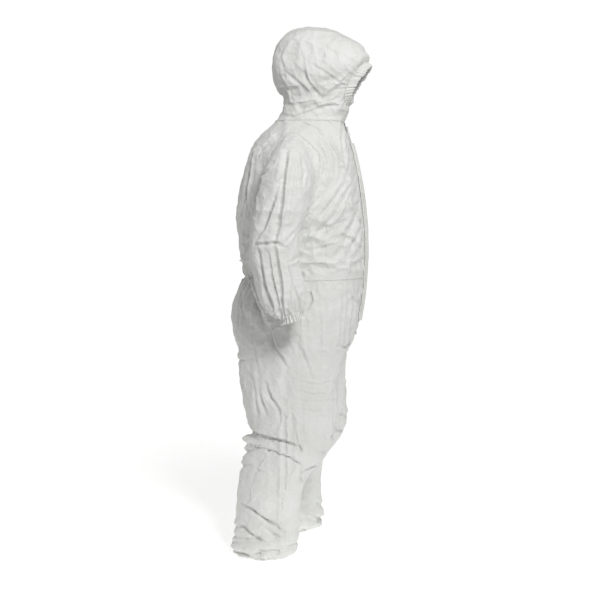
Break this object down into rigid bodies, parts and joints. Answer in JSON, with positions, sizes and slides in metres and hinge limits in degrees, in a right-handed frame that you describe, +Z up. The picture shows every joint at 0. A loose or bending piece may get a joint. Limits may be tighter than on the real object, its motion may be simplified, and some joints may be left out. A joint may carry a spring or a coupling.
{
  "type": "hooded chemical protective suit",
  "caption": "White hooded one-piece protective coverall, shaped as if worn, with zip, storm flap and elastic at face, waist, wrists and ankles.",
  "frame": {"origin": "middle of the line between the shoulders, in the suit's middle plane, 1422 mm above the hems' lower edge", "axes": "+Z up along the upright suit, -Y towards the front of the suit, -X towards the wearer's right"},
  "size_m": [0.721, 0.4765, 1.7793],
  "materials": {
    "nonwoven": "matte, slightly papery laminated nonwoven",
    "elastic": "gathered, matte",
    "zip_tape": "fine woven tape",
    "zip_coil": "satin nylon",
    "zip_metal_look": "white enamel",
    "adhesive_liner": "waxy release paper"
  },
  "bodies": {
    "trunk": {"front_panel_right": "nonwoven", "front_panel_left": "nonwoven", "back_panel_right": "nonwoven", "back_panel_left": "nonwoven", "seat_front_right": "nonwoven", "seat_front_left": "nonwoven", "seat_back_right": "nonwoven", "seat_back_left": "nonwoven", "fly_facing": "nonwoven", "waist_seam": "nonwoven", "waist_elastic": "elastic", "crotch_gusset": "nonwoven", "right_armhole_seam": "nonwoven", "left_armhole_seam": "nonwoven", "right_shoulder_fabric": "nonwoven", "left_shoulder_fabric": "nonwoven", "right_hip_fabric": "nonwoven", "left_hip_fabric": "nonwoven", "neck_fabric": "nonwoven", "zip_tape_right": "zip_tape", "zip_tape_left": "zip_tape", "zip_coil_right": "zip_coil", "zip_coil_left": "zip_coil", "zip_stops": "zip_coil", "flap_stitched_edge": "nonwoven"},
    "hood": {"hood_right": "nonwoven", "hood_left": "nonwoven", "hood_face_elastic": "elastic", "hood_centre_seam": "nonwoven"},
    "zip_slider_body": {"zip_slider": "zip_metal_look", "zip_pull_pin": "zip_metal_look"},
    "zip_pull_tab": {"zip_pull": "zip_metal_look"},
    "storm_flap": {"storm_flap": "nonwoven", "flap_adhesive_strip": "adhesive_liner"},
    "right_upper_arm": {"right_upper_sleeve": "nonwoven", "right_elbow_fabric": "nonwoven"},
    "right_forearm": {"right_forearm_sleeve": "nonwoven", "right_wrist_elastic": "elastic"},
    "right_thigh_body": {"right_thigh": "nonwoven", "right_knee_fabric": "nonwoven"},
    "right_shin": {"right_lower_leg": "nonwoven", "right_hem_fabric": "nonwoven", "right_ankle_elastic": "elastic"},
    "left_upper_arm": {"left_upper_sleeve": "nonwoven", "left_elbow_fabric": "nonwoven"},
    "left_forearm": {"left_forearm_sleeve": "nonwoven", "left_wrist_elastic": "elastic"},
    "left_thigh_body": {"left_thigh": "nonwoven", "left_knee_fabric": "nonwoven"},
    "left_shin": {"left_lower_leg": "nonwoven", "left_hem_fabric": "nonwoven", "left_ankle_elastic": "elastic"}
  },
  "joints": [
    {"name": "hood_nod", "type": "hinge", "parent": "trunk", "child": "hood", "pos_m": [0, -0.03, 0.055], "axis": [1, 0, 0], "range_deg": [-15, 18], "deforming": ["neck_fabric"]},
    {"name": "right_shoulder", "type": "hinge", "parent": "trunk", "child": "right_upper_arm", "pos_m": [-0.185, 0.008, -0.09], "axis": [0, 1, 0], "range_deg": [0, 55], "deforming": ["right_shoulder_fabric"]},
    {"name": "right_elbow", "type": "hinge", "parent": "right_upper_arm", "child": "right_forearm", "pos_m": [-0.284, -0.005, -0.375], "axis": [-1, 0, 0], "range_deg": [-12, 75], "deforming": ["right_elbow_fabric"]},
    {"name": "right_hip", "type": "hinge", "parent": "trunk", "child": "right_thigh_body", "pos_m": [-0.104, 0.01, -0.66], "axis": [-1, 0, 0], "range_deg": [-10, 45], "deforming": ["right_hip_fabric"]},
    {"name": "right_knee", "type": "hinge", "parent": "right_thigh_body", "child": "right_shin", "pos_m": [-0.128, 0.095, -1], "axis": [1, 0, 0], "range_deg": [0, 60], "deforming": ["right_knee_fabric"]},
    {"name": "left_shoulder", "type": "hinge", "parent": "trunk", "child": "left_upper_arm", "pos_m": [0.185, 0.008, -0.09], "axis": [0, -1, 0], "range_deg": [0, 55], "deforming": ["left_shoulder_fabric"]},
    {"name": "left_elbow", "type": "hinge", "parent": "left_upper_arm", "child": "left_forearm", "pos_m": [0.284, -0.005, -0.375], "axis": [-1, 0, 0], "range_deg": [-12, 75], "deforming": ["left_elbow_fabric"]},
    {"name": "left_hip", "type": "hinge", "parent": "trunk", "child": "left_thigh_body", "pos_m": [0.104, 0.01, -0.66], "axis": [-1, 0, 0], "range_deg": [-10, 45], "deforming": ["left_hip_fabric"]},
    {"name": "left_knee", "type": "hinge", "parent": "left_thigh_body", "child": "left_shin", "pos_m": [0.128, 0.071, -1], "axis": [1, 0, 0], "range_deg": [0, 60], "deforming": ["left_knee_fabric"]},
    {"name": "zip_slide", "type": "hinge", "parent": "trunk", "child": "zip_slider_body", "pos_m": [0, 1.06, -0.4], "axis": [1, 0, 0], "range_deg": [0, 28.9]},
    {"name": "zip_pull_swing", "type": "hinge", "parent": "zip_slider_body", "child": "zip_pull_tab", "pos_m": [0, -0.16146, 0.01521], "axis": [-1, 0, 0], "range_deg": [0, 95]},
    {"name": "flap_open", "type": "hinge", "parent": "trunk", "child": "storm_flap", "pos_m": [0.024, -0.23256, -0.33483], "axis": [0, 0.0504, 0.9987], "range_deg": [0, 70]}
  ]
}
